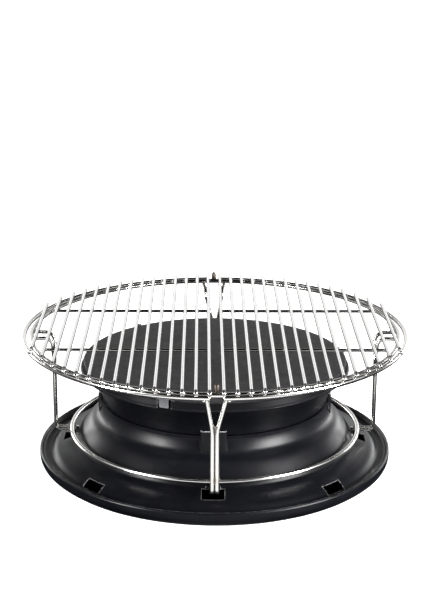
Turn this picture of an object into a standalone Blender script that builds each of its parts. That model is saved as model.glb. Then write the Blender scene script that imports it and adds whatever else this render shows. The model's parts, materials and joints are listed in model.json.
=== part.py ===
# Two-piece wire cooking grate on a lift-off wire rack, standing over a
# waisted pressed-steel heat chamber with a flat deflector plate and a rimmed
# drip tray.  +Z is up and the origin is on the chamber axis at floor level.
# Front is -Y and right is +X.  The grate bars run along Y and the grate is
# split along the plane X = 0.
import bpy
import bmesh
import math
from mathutils import Matrix, Vector

for old_object in list(bpy.data.objects):
    bpy.data.objects.remove(old_object, do_unlink=True)

# ---- dimensions ----------------------------------------------------------
# Millimetres and degrees.  Endings: _D diameter, _R radius from the axis,
# _Z height above the floor, _W width.  Azimuth 0 is the front (-Y) and 90
# the right (+X).
MM = 0.001
QUARTERS = (("front", 0), ("right", 90), ("back", 180), ("left", 270))
WIRE_GAP = 0.3             # clearance between stacked wires

# Half grates
GRATE_R = 273.0            # circle through the bar ends
BAR_COUNT = 15             # bars in each half
BAR_D = 5.2
BAR_PITCH = 17.1
SPLIT_GAP = 18.0           # bar centre distance across the split
BAR_Z = 193.0
BAR_SIDES = 10
BAR_CHAMFER = 0.7
UNDER_BARS_Z = BAR_Z - BAR_D / 2 - WIRE_GAP
ROD_D = 4.5
ROD_CHAMFER = 0.5
ROD_Y = (("front", -86.5), ("back", 92.5))
ROD_Z = UNDER_BARS_Z - ROD_D / 2
ROD_SPLIT_OVERHANG = 1.8   # past the first bar's centre
ROD_OUTER_OVERHANG = 2.0   # past the last bar but one
RIM_R = 268.2
RIM_D = 6.8
RIM_Z = UNDER_BARS_Z - RIM_D / 2
RIM_END_X = SPLIT_GAP / 2 - 1.2
RIM_STEPS = 34

# Rack
RING_D = 6.6               # wire of both rings
TOP_RING_R = 258.0
TOP_RING_Z = UNDER_BARS_Z - RING_D / 2
TOP_RING_STEPS = 60
LEG_WIRE_D = 5.3
LEG_R = 228.5
LEG_HALF_W = 3.2           # half distance between the two wires of a leg
FORK_Z = 128.0             # above this the two wires spread apart
SHOULDER_HALF_W = 12.2     # half spread where the top bend starts
ARM_TIP_HALF_W = 16.3
ARM_TIP_R = 262.5
ARM_Z = TOP_RING_Z - RING_D / 2 - WIRE_GAP - LEG_WIRE_D / 2
TOP_BEND = 12.0            # centreline bend radii
FOOT_BEND = 4.8
BEND_STEPS = 4
HAIRPIN_STEPS = 6
FOOT_Z = 40.2
FOOT_TIP_R = 198.2         # innermost point of the hairpin's centreline
LEG_TWIST = -0.48          # turn of the legs' lower ends
TWIST_TOP_Z = 168.0        # the twist grows from here down to the fork
LOW_RING_R = 204.4
LOW_RING_Z = FOOT_Z + LEG_WIRE_D / 2 + WIRE_GAP + RING_D / 2
LOW_RING_STEPS = 54

# Divider posts
POST_D = 6.8
POST_BOTTOM_Z = TOP_RING_Z + RING_D / 2 + WIRE_GAP
POST_TOP_Z = 201.5         # nominal dome crown
POST_DOME_HEIGHT = 4.2
POST_DOME_ANGLES = (22, 52, 82)
POST_SIDES = 12

# Turned shells
SHELL_FACETS = 54
SHELL_THICKNESS = 1.4
MIN_MITRE = 0.6            # limits how far a sharp corner is pushed out
BASE_TURN = -1.0           # turn of the base under the rack
INNER_SLOT_R = (199.0, 217.2)   # under the rack legs
INNER_SLOT_Z = (18.0, 45.0)
INNER_SLOT_W = 30.0
DRAIN_SLOT_R = (221.8, 234.3)   # beside the gutter, between the legs
DRAIN_SLOT_Z = (6.0, 32.0)
DRAIN_SLOT_W = 32.0

# Deflector plate and its keepers
PLATE_TOP = 148.5
PLATE_THICKNESS = 1.5
PLATE_R = 190.2            # rolled lower edge of the skirt
LIP_Z = 136.0
NOTCH_AZIMUTHS = (-21.0, 99.0, 219.0)
NOTCH_W = 17.5
NOTCH_INNER_R = 184.4
KEEPER_W = 13.0
KEEPER_R = (185.2, 187.0)
KEEPER_Z = (137.6, 150.6)
KEEPER_TURN = -0.45        # turn from the notch centre

# Waist clips: open-topped pockets on the shell
CLIP_W = 33.3
CLIP_INNER_W = CLIP_W + 1.2     # width at the inner upper edge
CLIP_ROOT_W = 39.5              # width at the inner lower edge
CLIP_R = (156.0, 165.2)
CLIP_Z = (68.5, 100.6)
CLIP_SIDE_WALL = 1.8
CLIP_FACE_WALL = 1.7
CLIP_FLOOR = 9.0

# Rack rests
REST_W = 20.0
REST_R = (196.3, 198.7)
REST_Z = (30.0, FOOT_Z - LEG_WIRE_D / 2 - WIRE_GAP)

# Clearance of the small pieces from the shells
SHELL_GAP = 0.35           # outward
BASE_GAP_Z = 0.15          # upward, over the base only

# Outer faces of the shells, top to bottom:
# (radius, height, True where the inner face keeps its own corner)
UPPER_PATH = (
    (177.5, 146.7, True), (182.4, 146.7, True), (183.9, 144.9, False),
    (184.4, 140.0, True), (183.6, 134.6, True),
    (179.5, 129.5, False), (172.5, 121.5, True), (166.4, 113.0, True),
    (162.6, 104.5, True), (161.0, 97.5, True), (160.2, 92.9, True),
)
# From the waist over the bell, tray and rim down to the foot
BASE_PATH = (
    (160.4, 92.6, True), (159.8, 86.0, True), (161.4, 78.0, True),
    (165.4, 71.4, True), (171.6, 66.7, True), (177.6, 62.4, False),
    (186.2, 51.2, True), (194.6, 40.0, True), (196.0, 36.6, True),
    (200.0, 33.0, True),
    (214.6, 27.0, True), (227.0, 21.8, False), (234.5, 14.8, True),
    (243.0, 14.8, True), (246.0, 17.0, True), (246.3, 20.2, True),
    (248.5, 22.0, True), (250.7, 20.2, True), (250.8, 10.8, True),
    (248.6, 6.6, False), (245.0, 3.4, True), (240.5, 0.0, True),
    (231.5, 0.0, True),
)
UPPER_CLEAR_PATH = UPPER_PATH[3:]   # below the top flange
BASE_CLEAR_PATH = BASE_PATH[:11]    # waist to tray

# Deflector plate section, (radius, height): over the top and down the
# skirt, round the lip, then back up inside to the axis
PLATE_LOOP = (
    (0.0, PLATE_TOP), (183.8, PLATE_TOP), (185.7, PLATE_TOP - 0.8),
    (186.9, PLATE_TOP - 3.0), (188.8, LIP_Z + 2.9), (PLATE_R, LIP_Z + 1.6),
    (PLATE_R, LIP_Z + 0.2), (PLATE_R - 1.6, LIP_Z),
    (187.2, LIP_Z + 2.8), (185.3, PLATE_TOP - 3.4),
    (183.6, PLATE_TOP - PLATE_THICKNESS), (0.0, PLATE_TOP - PLATE_THICKNESS),
)


# ---- collections and materials -------------------------------------------
def new_collection(name):
    collection = bpy.data.collections.new(name)
    bpy.context.scene.collection.children.link(collection)
    return collection


def material(name, colour, metallic, roughness):
    mat = bpy.data.materials.new(name)
    mat.use_nodes = True
    shader = mat.node_tree.nodes["Principled BSDF"]
    shader.inputs["Base Color"].default_value = (*colour, 1.0)
    shader.inputs["Metallic"].default_value = metallic
    shader.inputs["Roughness"].default_value = roughness
    mat.diffuse_color = (*colour, 1.0)
    return mat


PARTS = new_collection("split_grate_grill")
CUTTERS = new_collection("cutters")

GRATE_STEEL = material("grate_steel", colour=(0.80, 0.79, 0.77), metallic=1.0, roughness=0.18)
RACK_STEEL = material("rack_steel", colour=(0.74, 0.73, 0.71), metallic=1.0, roughness=0.20)
RIM_STEEL = material("rim_steel", colour=(0.77, 0.76, 0.74), metallic=1.0, roughness=0.18)
BASE_COAT = material("black_coat", colour=(0.028, 0.029, 0.032), metallic=0.0, roughness=0.36)
UPPER_COAT = material("upper_coat", colour=(0.024, 0.025, 0.028), metallic=0.0, roughness=0.42)
PLATE_COAT = material("plate_coat", colour=(0.075, 0.072, 0.075), metallic=0.0, roughness=0.62)
CLIP_COAT = material("clip_coat", colour=(0.035, 0.035, 0.038), metallic=0.0, roughness=0.40)
TAB_STEEL = material("tab_steel", colour=(0.36, 0.37, 0.39), metallic=0.6, roughness=0.42)


# ---- shared helpers ------------------------------------------------------
def add_part(name, data, mat):
    part = bpy.data.objects.new(name, data)
    PARTS.objects.link(part)
    data.materials.append(mat)
    return part


def add_cutter(name, mesh):
    cutter = bpy.data.objects.new(name, mesh)
    CUTTERS.objects.link(cutter)
    cutter.hide_render = True
    cutter.display_type = "WIRE"
    return cutter


def cut(part, cutter, label):
    boolean = part.modifiers.new(label, "BOOLEAN")
    boolean.operation = "DIFFERENCE"
    boolean.solver = "EXACT"
    boolean.object = cutter


def finish_mesh(bm, name):
    bmesh.ops.recalc_face_normals(bm, faces=bm.faces)
    mesh = bpy.data.meshes.new(name)
    bm.to_mesh(mesh)
    bm.free()
    return mesh


def point_at(azimuth, tangential, radial, z):
    """Point given along the tangent, outward and up at an azimuth."""
    angle = math.radians(azimuth)
    outward = Vector((math.sin(angle), -math.cos(angle), 0.0))
    tangent = Vector((math.cos(angle), math.sin(angle), 0.0))
    return tangent * tangential + outward * radial + Vector((0, 0, z))


def wire(name, points, diameter, mat, cyclic=False):
    """Round wire along a polyline."""
    curve = bpy.data.curves.new(name, "CURVE")
    curve.dimensions = "3D"
    curve.resolution_u = 1
    curve.render_resolution_u = 0
    curve.bevel_depth = diameter / 2 * MM
    curve.bevel_resolution = 2
    curve.use_fill_caps = not cyclic
    spline = curve.splines.new("POLY")
    spline.points.add(len(points) - 1)
    for spline_point, (x, y, z) in zip(spline.points, points):
        spline_point.co = (x * MM, y * MM, z * MM, 1.0)
    spline.use_cyclic_u = cyclic
    add_part(name, curve, mat)


def wire_ring(name, radius, height, steps):
    angles = [2 * math.pi * i / steps for i in range(steps)]
    points = [(radius * math.cos(a), radius * math.sin(a), height) for a in angles]
    wire(name, points, RING_D, RACK_STEEL, cyclic=True)


def round_bar(name, start, end, diameter, mat, chamfer):
    """Straight wire with lightly broken end edges."""
    start = Vector(start) * MM
    end = Vector(end) * MM
    axis = end - start
    bm = bmesh.new()
    bmesh.ops.create_cone(bm, cap_ends=True, segments=BAR_SIDES,
                          radius1=diameter / 2 * MM, radius2=diameter / 2 * MM,
                          depth=axis.length)
    turn = axis.to_track_quat("Z", "Y").to_matrix().to_4x4()
    bmesh.ops.transform(bm, matrix=Matrix.Translation((start + end) / 2) @ turn,
                        verts=bm.verts)
    bar = add_part(name, finish_mesh(bm, name), mat)
    bevel = bar.modifiers.new("ends", "BEVEL")
    bevel.width = chamfer * MM
    bevel.segments = 1
    bevel.limit_method = "ANGLE"
    bevel.angle_limit = math.radians(60)


def add_block(bm, azimuth, width, radii, heights, inner_widths=None):
    """Box facing an azimuth; inner_widths (low, high) taper it inwards."""
    corners = []
    for level, z in enumerate(heights):
        inner_width = inner_widths[level] if inner_widths else width
        for radius, face_width in zip(radii, (inner_width, width)):
            for side in (-1, 1):
                corner = point_at(azimuth, side * face_width / 2, radius, z)
                corners.append(bm.verts.new(corner * MM))
    for face in ((0, 1, 3, 2), (4, 6, 7, 5), (0, 4, 5, 1),
                 (2, 3, 7, 6), (0, 2, 6, 4), (1, 5, 7, 3)):
        bm.faces.new([corners[i] for i in face])


def block_mesh(name, *block, **taper):
    bm = bmesh.new()
    add_block(bm, *block, **taper)
    return finish_mesh(bm, name)


def inner_offset(path, distance):
    """Mitred offset of an open path to the right of its direction."""
    points = [Vector(station[:2]) for station in path]
    shifted = []
    for i, point in enumerate(points):
        directions = []
        if i > 0:
            directions.append((point - points[i - 1]).normalized())
        if i < len(points) - 1:
            directions.append((points[i + 1] - point).normalized())
        mean = sum(directions, Vector((0, 0))).normalized()
        normal = Vector((mean.y, -mean.x))
        mitre = normal.dot(Vector((directions[0].y, -directions[0].x)))
        shifted.append(tuple(point + normal * (distance / max(MIN_MITRE, mitre))))
    return shifted


def sheet_loop(path):
    """Closed section of a pressed sheet, from its outer face."""
    outer = [(radius, z) for radius, z, _ in path]
    inner = [point for point, (_, _, keep)
             in zip(inner_offset(path, SHELL_THICKNESS), path) if keep]
    return outer + inner[::-1]


def section_mesh(name, loop, closed):
    """Edges of a (radius, height) section; leave it open if it ends on the axis."""
    count = len(loop)
    edges = [(i, i + 1) for i in range(count - 1)]
    if closed:
        edges.append((count - 1, 0))
    mesh = bpy.data.meshes.new(name)
    mesh.from_pydata([(radius * MM, 0.0, z * MM) for radius, z in loop], edges, [])
    return mesh


def spin(section):
    """Turn a section about Z into a solid."""
    screw = section.modifiers.new("turn", "SCREW")
    screw.axis = "Z"
    screw.angle = 2 * math.pi
    screw.steps = SHELL_FACETS
    screw.render_steps = SHELL_FACETS
    screw.screw_offset = 0.0
    screw.use_merge_vertices = True
    screw.merge_threshold = 0.00005
    screw.use_smooth_shade = False
    return section


# ---- grate ---------------------------------------------------------------
def half_grate(label, side):
    """Bars, two cross rods and a rim wire; side is -1 for left, 1 for right."""
    bar_xs = [side * (SPLIT_GAP / 2 + i * BAR_PITCH) for i in range(BAR_COUNT)]
    for number, x in enumerate(bar_xs, 1):
        half_length = math.sqrt(GRATE_R ** 2 - x * x)
        round_bar("%s_grate_bar_%02d" % (label, number),
                  (x, -half_length, BAR_Z), (x, half_length, BAR_Z),
                  BAR_D, GRATE_STEEL, BAR_CHAMFER)

    split_x = bar_xs[0] - side * ROD_SPLIT_OVERHANG
    outer_x = bar_xs[-2] + side * ROD_OUTER_OVERHANG
    for place, y in ROD_Y:
        round_bar("%s_cross_rod_%s" % (label, place),
                  (split_x, y, ROD_Z), (outer_x, y, ROD_Z),
                  ROD_D, RACK_STEEL, ROD_CHAMFER)

    # from under the first bar's front end round to its back end
    first = math.asin(RIM_END_X / RIM_R)
    rim_points = []
    for i in range(RIM_STEPS + 1):
        angle = first + (math.pi - 2 * first) * i / RIM_STEPS
        rim_points.append((side * RIM_R * math.sin(angle), -RIM_R * math.cos(angle), RIM_Z))
    wire("%s_grate_rim_wire" % label, rim_points, RIM_D, RIM_STEEL)


# ---- rack ----------------------------------------------------------------
def half_leg():
    """(tangential, radial, height) from the foot bend up to the arm tip."""
    quarter = [math.pi / 2 * i / BEND_STEPS for i in range(BEND_STEPS + 1)]
    points = []
    for angle in quarter:
        points.append((LEG_HALF_W,
                       LEG_R - FOOT_BEND + FOOT_BEND * math.sin(angle),
                       FOOT_Z + FOOT_BEND - FOOT_BEND * math.cos(angle)))
    points.append((LEG_HALF_W, LEG_R, FORK_Z))
    # the wires keep spreading evenly along the top bend and the arm
    bend_centre_r = LEG_R + TOP_BEND
    run = TOP_BEND * math.pi / 2 + (ARM_TIP_R - bend_centre_r)
    for angle in quarter:
        share = TOP_BEND * angle / run
        points.append((SHOULDER_HALF_W + (ARM_TIP_HALF_W - SHOULDER_HALF_W) * share,
                       bend_centre_r - TOP_BEND * math.cos(angle),
                       ARM_Z - TOP_BEND + TOP_BEND * math.sin(angle)))
    points.append((ARM_TIP_HALF_W, ARM_TIP_R, ARM_Z))
    return points


def hairpin_leg():
    """One wire: arm tip, down, in along the foot, hairpin, and back up."""
    rising = half_leg()
    falling = [(-tangential, radial, z) for tangential, radial, z in reversed(rising)]
    hairpin = []
    for i in range(HAIRPIN_STEPS + 1):
        angle = math.pi * i / HAIRPIN_STEPS
        hairpin.append((-LEG_HALF_W * math.cos(angle),
                        FOOT_TIP_R + LEG_HALF_W - LEG_HALF_W * math.sin(angle),
                        FOOT_Z))
    return falling + hairpin + rising


def rack_leg(label, azimuth):
    points = []
    for tangential, radial, z in hairpin_leg():
        share = min(1.0, max(0.0, (TWIST_TOP_Z - z) / (TWIST_TOP_Z - FORK_Z)))
        points.append(point_at(azimuth + LEG_TWIST * share, tangential, radial, z))
    wire("rack_leg_%s" % label, points, LEG_WIRE_D, RACK_STEEL)


def divider_post(label, side):
    """Domed pin standing on the top ring in the grate's split."""
    name = "divider_post_%s" % label
    radius = POST_D / 2
    dome_z = POST_TOP_Z - POST_DOME_HEIGHT
    levels = [(radius, POST_BOTTOM_Z), (radius, dome_z)]
    for angle in map(math.radians, POST_DOME_ANGLES):
        levels.append((radius * math.cos(angle),
                       dome_z + POST_DOME_HEIGHT * math.sin(angle)))
    bm = bmesh.new()
    rings = []
    for level_radius, z in levels:
        ring = []
        for i in range(POST_SIDES):
            angle = 2 * math.pi * i / POST_SIDES
            x = level_radius * math.cos(angle)
            y = side * TOP_RING_R + level_radius * math.sin(angle)
            ring.append(bm.verts.new((x * MM, y * MM, z * MM)))
        rings.append(ring)
    bm.faces.new(rings[0][::-1])
    for lower, upper in zip(rings, rings[1:]):
        for i in range(POST_SIDES):
            j = (i + 1) % POST_SIDES
            bm.faces.new((lower[i], lower[j], upper[j], upper[i]))
    bm.faces.new(rings[-1])
    add_part(name, finish_mesh(bm, name), RACK_STEEL)


# ---- shells and plate ----------------------------------------------------
def base_shell():
    mesh = section_mesh("base_shell", sheet_loop(BASE_PATH), closed=True)
    base = spin(add_part("base_shell", mesh, BASE_COAT))
    bm = bmesh.new()
    for _, azimuth in QUARTERS:
        add_block(bm, azimuth + BASE_TURN, INNER_SLOT_W, INNER_SLOT_R, INNER_SLOT_Z)
    for _, azimuth in QUARTERS:
        add_block(bm, azimuth + 45 + BASE_TURN, DRAIN_SLOT_W, DRAIN_SLOT_R, DRAIN_SLOT_Z)
    cut(base, add_cutter("slot_cutters", finish_mesh(bm, "slot_cutters")), "slots")


def upper_shell():
    mesh = section_mesh("upper_shell", sheet_loop(UPPER_PATH), closed=True)
    spin(add_part("upper_shell", mesh, UPPER_COAT))


def deflector_plate():
    mesh = section_mesh("deflector_plate", PLATE_LOOP, closed=False)
    plate = spin(add_part("deflector_plate", mesh, PLATE_COAT))
    overshoot = 4.0
    bm = bmesh.new()
    for azimuth in NOTCH_AZIMUTHS:
        add_block(bm, azimuth, NOTCH_W, (NOTCH_INNER_R, PLATE_R + overshoot),
                  (LIP_Z - overshoot, PLATE_TOP + overshoot))
    cut(plate, add_cutter("notch_cutters", finish_mesh(bm, "notch_cutters")), "notches")


# ---- small pressed pieces ------------------------------------------------
def shell_clearance():
    """Solid that follows the outside of both shells with a small gap."""
    outside = [(radius + SHELL_GAP, z) for radius, z, _ in UPPER_CLEAR_PATH]
    outside += [(radius + SHELL_GAP, z + BASE_GAP_Z) for radius, z, _ in BASE_CLEAR_PATH]
    loop = [(0.0, outside[0][1])] + outside + [(0.0, outside[-1][1])]
    return spin(add_cutter("shell_clearance",
                           section_mesh("shell_clearance", loop, closed=False)))


def waist_clip(label, azimuth, clearance):
    name = "waist_clip_" + label
    mesh = block_mesh(name, azimuth, CLIP_W, CLIP_R, CLIP_Z,
                      inner_widths=(CLIP_ROOT_W, CLIP_INNER_W))
    clip = add_part(name, mesh, CLIP_COAT)
    cut(clip, clearance, "follow_shell")
    # the pocket cutter runs past the clip's inner face and its top
    pocket_name = "clip_pocket_" + label
    pocket = block_mesh(pocket_name, azimuth, CLIP_W - 2 * CLIP_SIDE_WALL,
                        (CLIP_R[0] - 6.0, CLIP_R[1] - CLIP_FACE_WALL),
                        (CLIP_Z[0] + CLIP_FLOOR, CLIP_Z[1] + 10.0))
    cut(clip, add_cutter(pocket_name, pocket), "open_top")


def rack_rest(label, azimuth, clearance):
    """Low pad between the bell's foot and the slot, under the leg's hairpin."""
    name = "rack_rest_" + label
    rest = add_part(name, block_mesh(name, azimuth, REST_W, REST_R, REST_Z), CLIP_COAT)
    cut(rest, clearance, "follow_shell")


def plate_keeper(number, notch_azimuth):
    """Upright blade on the upper shell that stands up through a skirt notch."""
    name = "plate_keeper_%d" % number
    mesh = block_mesh(name, notch_azimuth + KEEPER_TURN, KEEPER_W, KEEPER_R, KEEPER_Z)
    add_part(name, mesh, TAB_STEEL)


# ---- build ---------------------------------------------------------------
half_grate("left", -1)
half_grate("right", 1)

wire_ring("rack_top_ring", TOP_RING_R, TOP_RING_Z, TOP_RING_STEPS)
wire_ring("rack_lower_ring", LOW_RING_R, LOW_RING_Z, LOW_RING_STEPS)
for quarter_label, quarter_azimuth in QUARTERS:
    rack_leg(quarter_label, quarter_azimuth)
divider_post("front", -1)
divider_post("back", 1)

base_shell()
upper_shell()
deflector_plate()

clearance_solid = shell_clearance()
for quarter_label, quarter_azimuth in QUARTERS:
    waist_clip(quarter_label, quarter_azimuth + BASE_TURN, clearance_solid)
    rack_rest(quarter_label, quarter_azimuth + BASE_TURN, clearance_solid)
for keeper_number, keeper_azimuth in enumerate(NOTCH_AZIMUTHS, 1):
    plate_keeper(keeper_number, keeper_azimuth)
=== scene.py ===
# Looks for the split-grate tabletop grill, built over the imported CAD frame.
# The grill stands on z = 0 round the Z axis. Front is -Y and right is +X; the gap between
# the two grate halves lies along Y at x = 0. Azimuths are degrees from the front
# towards the right. Shape lengths are millimetres; node, light and camera values are metres.
import json
import math
import bpy
import bmesh
import numpy as np
from mathutils import Matrix, Vector


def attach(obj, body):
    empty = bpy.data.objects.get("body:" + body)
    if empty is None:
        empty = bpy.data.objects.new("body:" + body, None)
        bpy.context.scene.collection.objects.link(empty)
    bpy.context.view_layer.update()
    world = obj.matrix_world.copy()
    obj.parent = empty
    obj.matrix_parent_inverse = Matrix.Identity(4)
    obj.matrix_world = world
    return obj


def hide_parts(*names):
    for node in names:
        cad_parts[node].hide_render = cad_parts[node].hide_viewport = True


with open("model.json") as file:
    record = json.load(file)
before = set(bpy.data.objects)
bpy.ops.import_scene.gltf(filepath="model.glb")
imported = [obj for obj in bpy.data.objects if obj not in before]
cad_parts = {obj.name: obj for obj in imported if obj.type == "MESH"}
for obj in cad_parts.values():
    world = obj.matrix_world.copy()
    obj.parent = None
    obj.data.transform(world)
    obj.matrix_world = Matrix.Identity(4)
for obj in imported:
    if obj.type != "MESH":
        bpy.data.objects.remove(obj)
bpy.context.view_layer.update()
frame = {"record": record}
MM = 0.001
rng = np.random.default_rng(7)

BODY = {}
for body_name, members in frame["record"]["behaviour"]["bodies"].items():
    for member in members:
        BODY[member] = body_name

COMPASS = (("front", 0), ("right", 90), ("back", 180), ("left", 270))


# ==========================================================================
# node helpers
# ==========================================================================
class Tree:
    """Writes shader nodes; its methods return output sockets."""

    def __init__(self, node_tree):
        self.tree = node_tree
        node_tree.nodes.clear()

    def add(self, kind, inputs=None, **props):
        """A new node with its properties set and its inputs filled."""
        node = self.tree.nodes.new(kind)
        for key, value in props.items():
            setattr(node, key, value)
        for key, value in (inputs or {}).items():
            self.put(node.inputs[key], value)
        return node

    def put(self, socket, value):
        """Links a socket or sets a plain value; colours get alpha 1."""
        if isinstance(value, bpy.types.NodeSocket):
            self.tree.links.new(value, socket)
        elif isinstance(value, tuple) and socket.type == "RGBA":
            socket.default_value = (*value, 1.0)
        else:
            socket.default_value = value

    def math(self, op, *values, clamp=False):
        return self.add("ShaderNodeMath", dict(enumerate(values)),
                        operation=op, use_clamp=clamp).outputs[0]

    def times(self, first, second):
        return self.math("MULTIPLY", first, second)

    def plus(self, first, second, clamp=False):
        return self.math("ADD", first, second, clamp=clamp)

    def minus(self, first, second, clamp=False):
        return self.math("SUBTRACT", first, second, clamp=clamp)

    def size(self, value):
        return self.math("ABSOLUTE", value)

    def remap(self, value, span, out=(0.0, 1.0), kind="LINEAR"):
        """Maps the span of value onto out."""
        keys = ("Value", "From Min", "From Max", "To Min", "To Max")
        return self.add("ShaderNodeMapRange", dict(zip(keys, (value, *span, *out))),
                        interpolation_type=kind).outputs[0]

    def smooth(self, value, span, out=(0.0, 1.0)):
        return self.remap(value, span, out, "SMOOTHSTEP")

    def noise(self, vec, scale, detail=3.0, rough=0.5):
        return self.add("ShaderNodeTexNoise", {"Vector": vec, "Scale": scale, "Detail": detail,
                                               "Roughness": rough}).outputs[0]

    def streaks(self, vec, stretch, detail=3.0, rough=0.6):
        """Noise drawn out into lines along the least stretched axis."""
        mapping = self.add("ShaderNodeMapping", {"Vector": vec, "Scale": stretch})
        return self.noise(mapping.outputs[0], scale=1.0, detail=detail, rough=rough)

    def shift(self, vec, offset):
        return self.add("ShaderNodeVectorMath", {0: vec, 1: offset},
                        operation="ADD").outputs[0]

    def separate(self, vec):
        return self.add("ShaderNodeSeparateXYZ", {0: vec}).outputs

    def mix(self, fac, first, second):
        return self.add("ShaderNodeMix", {0: fac, 6: first, 7: second},
                        data_type="RGBA").outputs[2]

    def tint(self, base, mask, colour, amount=None):
        """Lays colour over base where the mask is high."""
        if amount is not None:
            mask = self.times(mask, amount)
        return self.mix(mask, base, colour)

    def coords(self):
        return self.add("ShaderNodeTexCoord").outputs["Object"]

    def attr(self, name, output="Fac"):
        return self.add("ShaderNodeAttribute", attribute_name=name).outputs[output]

    def bump(self, height, strength, distance, normal=None):
        inputs = {"Height": height, "Strength": strength, "Distance": distance}
        if normal is not None:
            inputs["Normal"] = normal
        return self.add("ShaderNodeBump", inputs).outputs[0]

    def principled(self, **values):
        inputs = {key.replace("_", " "): value for key, value in values.items()}
        return self.add("ShaderNodeBsdfPrincipled", inputs).outputs[0]

    def surface(self, shader):
        self.add("ShaderNodeOutputMaterial", {0: shader})


def new_material(name):
    material = bpy.data.materials.new(name)
    material.use_nodes = True
    return material, Tree(material.node_tree)


def scaled(colour, factor):
    return tuple(factor * c for c in colour)


def capped(colour, limit):
    return tuple(min(c, top) for c, top in zip(colour, limit))


def grey(level):
    return (level, level, level)


# ==========================================================================
# materials
# ==========================================================================
def drawn_steel(name, tone, rough, warm=0.0, flank_shade=0.0):
    """Drawn stainless wire: lengthwise lines, haze, straw and brown heat tint by the welds,
    and painted shade dots on the bar tops. warm strengthens the heat tint; the flank setting paints
    shade on the sides that face along X."""
    straw_tone = capped((0.58, 0.50, 0.38), tone)
    brown_tone = capped((0.13, 0.115, 0.105), tone)
    shade_dot_tone = (0.012, 0.011, 0.011)
    material, tree = new_material(name)
    obj = tree.coords()
    flow = tree.attr("flow", "Vector")
    weld = tree.attr("weld")
    fine = tree.streaks(flow, stretch=(9.0, 2600.0, 2600.0))
    broad = tree.streaks(flow, stretch=(3.0, 700.0, 700.0), detail=2.0, rough=0.5)
    haze = tree.noise(obj, scale=34.0, detail=4.0, rough=0.55)
    blotch = tree.noise(obj, scale=240.0, rough=0.6)
    # the tint has ragged edges
    ragged = tree.plus(weld, tree.remap(blotch, span=(0.3, 0.7), out=(-0.22, 0.22)))
    straw = tree.smooth(ragged, span=(0.18, 0.62))
    brown = tree.smooth(ragged, span=(0.58, 1.0))
    base = tree.mix(tree.remap(haze, span=(0.35, 0.65)), scaled(tone, 0.965), tone)
    base = tree.tint(base, tree.remap(fine, span=(0.42, 0.72)), scaled(tone, 0.60),
                     amount=0.14)
    base = tree.tint(base, straw, straw_tone, amount=0.22 + warm)
    base = tree.tint(base, brown, brown_tone, amount=0.45 + warm)
    # painted shade: dark dots laid on the bar tops near the rim welds
    shade_dot = tree.smooth(tree.attr("shade_dot"), span=(0.22, 0.48))
    base = tree.tint(base, shade_dot, shade_dot_tone)
    # painted shade: sides facing along X are darkened, less so when looked at from the side
    geometry = tree.add("ShaderNodeNewGeometry")
    normal = tree.separate(geometry.outputs["Normal"])
    incoming = tree.separate(geometry.outputs["Incoming"])
    aside = tree.smooth(tree.size(incoming[0]), span=(0.26, 0.55))
    flank_shade_mask = tree.smooth(tree.size(normal[0]), span=(0.52, 0.74))
    flank_shade_mask = tree.times(flank_shade_mask, tree.minus(1.0, aside))
    base = tree.tint(base, flank_shade_mask, scaled(tone, 0.14), amount=flank_shade)
    shine = tree.remap(fine, span=(0.3, 0.75), out=(rough - 0.03, rough + 0.09))
    shine = tree.plus(shine, tree.remap(haze, span=(0.40, 0.70), out=(0.0, 0.05)))
    for mask, added_roughness in ((brown, 0.20), (shade_dot, 0.28)):
        shine = tree.plus(shine, tree.times(mask, added_roughness), clamp=True)
    relief = tree.bump(fine, strength=0.10, distance=0.00006)
    relief = tree.bump(broad, strength=0.10, distance=0.00010, normal=relief)
    if flank_shade > 0.5:
        # painted shade: faces turned along Y, at the wire tips, are darkened as well
        tip_shade = tree.smooth(tree.size(normal[1]), span=(0.45, 0.80))
        base = tree.tint(base, tip_shade, scaled(tone, 0.20), amount=0.68)
    tree.surface(tree.principled(Base_Color=base, Metallic=1.0, Roughness=shine,
                                 Normal=relief))
    return material


def weld_metal():
    """Small resistance-weld nuggets: oxidised, lumpy, half matte."""
    dark, light, glint = (0.020, 0.018, 0.017), (0.10, 0.092, 0.085), (0.28, 0.275, 0.27)
    material, tree = new_material("weld_nugget")
    obj = tree.coords()
    big = tree.noise(obj, scale=520.0, detail=4.0, rough=0.6)
    fine = tree.noise(obj, scale=2600.0, rough=0.6)
    base = tree.mix(tree.smooth(big, span=(0.35, 0.68)), dark, light)
    base = tree.tint(base, tree.smooth(fine, span=(0.60, 0.78)), glint, amount=0.6)
    relief = tree.bump(big, strength=0.5, distance=0.0004)
    relief = tree.bump(fine, strength=0.3, distance=0.0001, normal=relief)
    tree.surface(tree.principled(
        Base_Color=base, Metallic=0.85,
        Roughness=tree.remap(fine, span=(0.3, 0.7), out=(0.45, 0.66)), Normal=relief))
    return material


def rubbed_and_highlit_edges(tree, obj, scale, span):
    """Broken-up mask along the edges of a sheet: partly wear, partly painted highlight."""
    return tree.times(tree.smooth(tree.attr("edge"), span=(0.35, 1.0)),
                      tree.smooth(tree.noise(obj, scale=scale, detail=4.0, rough=0.65), span))


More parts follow.
